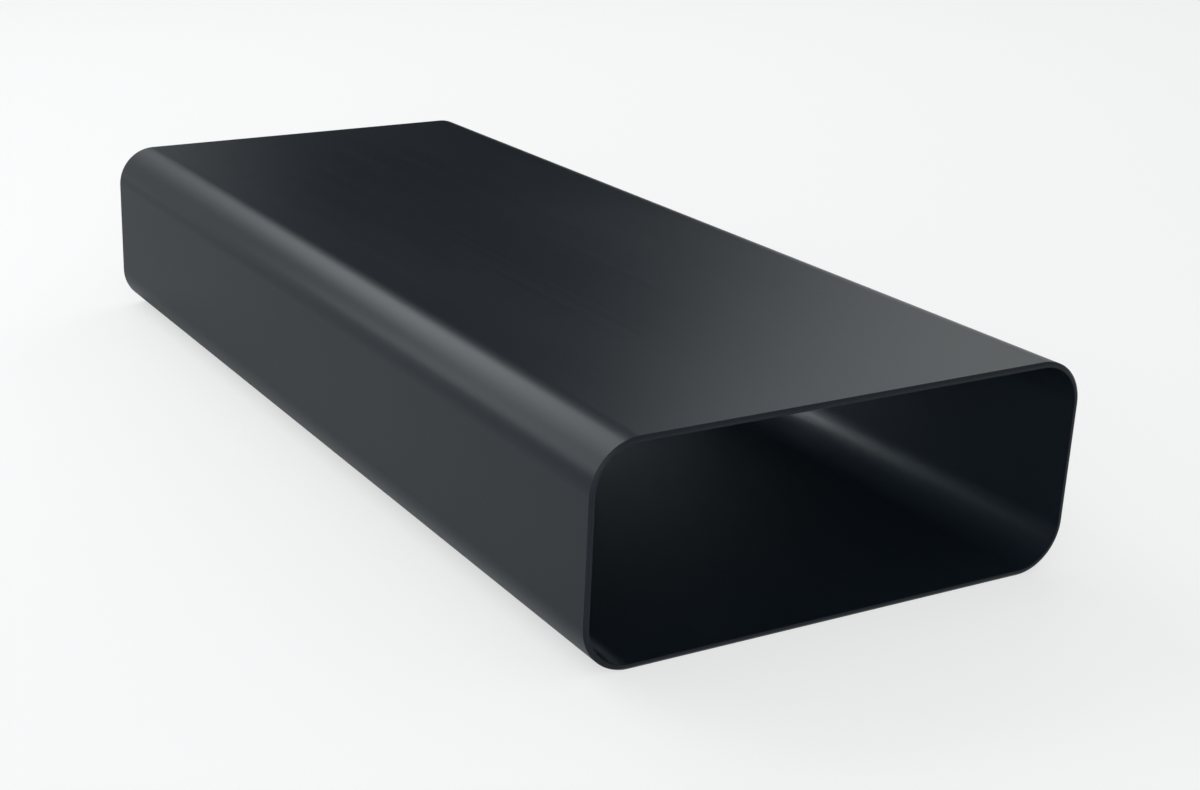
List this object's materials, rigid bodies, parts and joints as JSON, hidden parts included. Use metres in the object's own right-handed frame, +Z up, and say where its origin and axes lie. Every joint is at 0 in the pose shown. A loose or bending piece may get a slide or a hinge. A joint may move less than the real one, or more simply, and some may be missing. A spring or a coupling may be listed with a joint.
{
  "type": "flat channel duct",
  "caption": "Straight length of flat rectangular plastic air duct with large rounded corners, open at both ends, joined to other ducting by sleeves over its ends.",
  "frame": {"origin": "middle of the underside, on the surface that the duct lies on", "axes": "+Y along the duct, +X across its width, +Z up through its height"},
  "size_m": [0.222, 0.5, 0.089],
  "materials": {
    "duct_plastic": "satin, through-coloured anthracite"
  },
  "bodies": {
    "root": {"flat_duct": "duct_plastic"}
  },
  "joints": []
}
